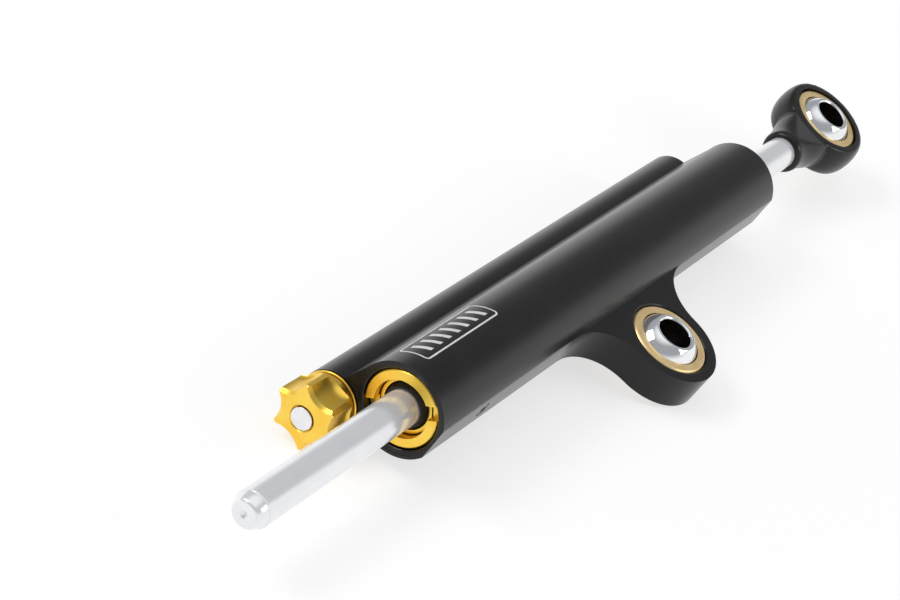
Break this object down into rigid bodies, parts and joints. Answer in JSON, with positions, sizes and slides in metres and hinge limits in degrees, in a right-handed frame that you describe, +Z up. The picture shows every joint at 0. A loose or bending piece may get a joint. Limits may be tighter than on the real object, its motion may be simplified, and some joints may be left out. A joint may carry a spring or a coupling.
{
  "type": "steering damper",
  "caption": "Linear hydraulic steering damper: through rod, adjuster knob, side reservoir tube, and spherical bearings in its lug and rod end.",
  "frame": {"origin": "the middle of the damper's footprint, on the table top it lies on", "axes": "+X along the rod towards the rod end, +Z up; the damper lies on its adjuster knob and the tip of its lug, which points to -Y"},
  "size_m": [0.3328, 0.0692, 0.0308],
  "materials": {
    "black_anodised": "fine satin black anodised, over turned and milled aluminium",
    "gold_anodised": "gold anodised, bright turned",
    "hard_chrome": "polished",
    "rod_chrome": "ground and polished hard chrome",
    "bronze": "turned bronze",
    "satin_aluminium": "satin, natural",
    "bright_steel": "bright zinc-plated",
    "spring_steel": "drawn wire",
    "nitrile_rubber": "matt",
    "filled_ptfe": "matt, filled",
    "bush_composite": "matt composite"
  },
  "bodies": {
    "housing": {"body": "black_anodised", "bleed_screw": "black_anodised", "lug_race": "bronze", "near_end_ring": "gold_anodised", "near_gland": "gold_anodised", "near_wiper": "nitrile_rubber", "near_rod_seal": "nitrile_rubber", "near_rod_bush": "bush_composite", "near_gland_o_ring": "nitrile_rubber", "near_bump_ring": "nitrile_rubber", "far_end_ring": "gold_anodised", "far_gland": "gold_anodised", "far_wiper": "nitrile_rubber", "far_rod_seal": "nitrile_rubber", "far_rod_bush": "bush_composite", "far_gland_o_ring": "nitrile_rubber", "far_bump_ring": "nitrile_rubber", "adjuster_bush": "gold_anodised", "detent_ball": "bright_steel", "detent_spring": "spring_steel", "adjuster_o_ring": "nitrile_rubber", "metering_seat": "satin_aluminium", "reservoir_spring": "spring_steel", "reservoir_end_plug": "gold_anodised", "reservoir_plug_o_ring": "nitrile_rubber"},
    "piston_band_ring": {"piston_band": "filled_ptfe"},
    "rod": {"piston_rod": "rod_chrome", "piston": "satin_aluminium", "near_piston_clip": "spring_steel", "far_piston_clip": "spring_steel", "rod_end_head": "black_anodised", "rod_end_race": "bronze"},
    "lug_liner_ring": {"lug_liner": "filled_ptfe"},
    "lug_bearing_ball": {"lug_ball": "hard_chrome"},
    "rod_end_liner_ring": {"rod_end_liner": "filled_ptfe"},
    "rod_end_bearing_ball": {"rod_end_ball": "hard_chrome"},
    "knob": {"adjuster_knob": "gold_anodised", "knob_cap": "satin_aluminium", "knob_grub_screw": "bright_steel", "adjuster_spindle": "bright_steel"},
    "needle": {"metering_needle": "bright_steel"},
    "floating_piston": {"reservoir_piston": "satin_aluminium", "reservoir_piston_o_ring": "nitrile_rubber"}
  },
  "joints": [
    {"name": "rod_slide", "type": "slide", "parent": "housing", "child": "piston_band_ring", "axis": [1, 0, 0], "range_m": [-0.028, 0.047]},
    {"name": "rod_turn", "type": "hinge", "parent": "piston_band_ring", "child": "rod", "pos_m": [-0.1015, 0.00715, 0.01779], "axis": [1, 0, 0], "continuous": true},
    {"name": "lug_bearing_swing", "type": "hinge", "parent": "housing", "child": "lug_liner_ring", "pos_m": [-0.0028, -0.01868, 0.00959], "axis": [0, -0.3025, 0.9532], "continuous": true},
    {"name": "lug_bearing_tilt", "type": "hinge", "parent": "lug_liner_ring", "child": "lug_bearing_ball", "pos_m": [-0.0028, -0.01868, 0.00959], "axis": [1, 0, 0], "range_deg": [-12, 12]},
    {"name": "rod_end_swing", "type": "hinge", "parent": "rod", "child": "rod_end_liner_ring", "pos_m": [0.1509, 0.00715, 0.01779], "axis": [0, -0.3828, 0.9238], "continuous": true},
    {"name": "rod_end_tilt", "type": "hinge", "parent": "rod_end_liner_ring", "child": "rod_end_bearing_ball", "pos_m": [0.1509, 0.00715, 0.01779], "axis": [1, 0, 0], "range_deg": [-12, 12]},
    {"name": "knob_turn", "type": "hinge", "parent": "housing", "child": "knob", "pos_m": [-0.1015, 0.02572, 0.0092], "axis": [1, 0, 0], "range_deg": [-360, 360]},
    {"name": "needle_slide", "type": "slide", "parent": "housing", "child": "needle", "axis": [1, 0, 0], "range_m": [-0.0008, 0.0008]},
    {"name": "floating_piston_slide", "type": "slide", "parent": "housing", "child": "floating_piston", "axis": [1, 0, 0], "range_m": [-0.005, 0.005], "stiffness_N_per_m": 300, "deforming": ["reservoir_spring"]}
  ],
  "couplings": [
    {"joint": "needle_slide", "follows": "knob_turn", "m_per_rad": 0.00011937}
  ]
}
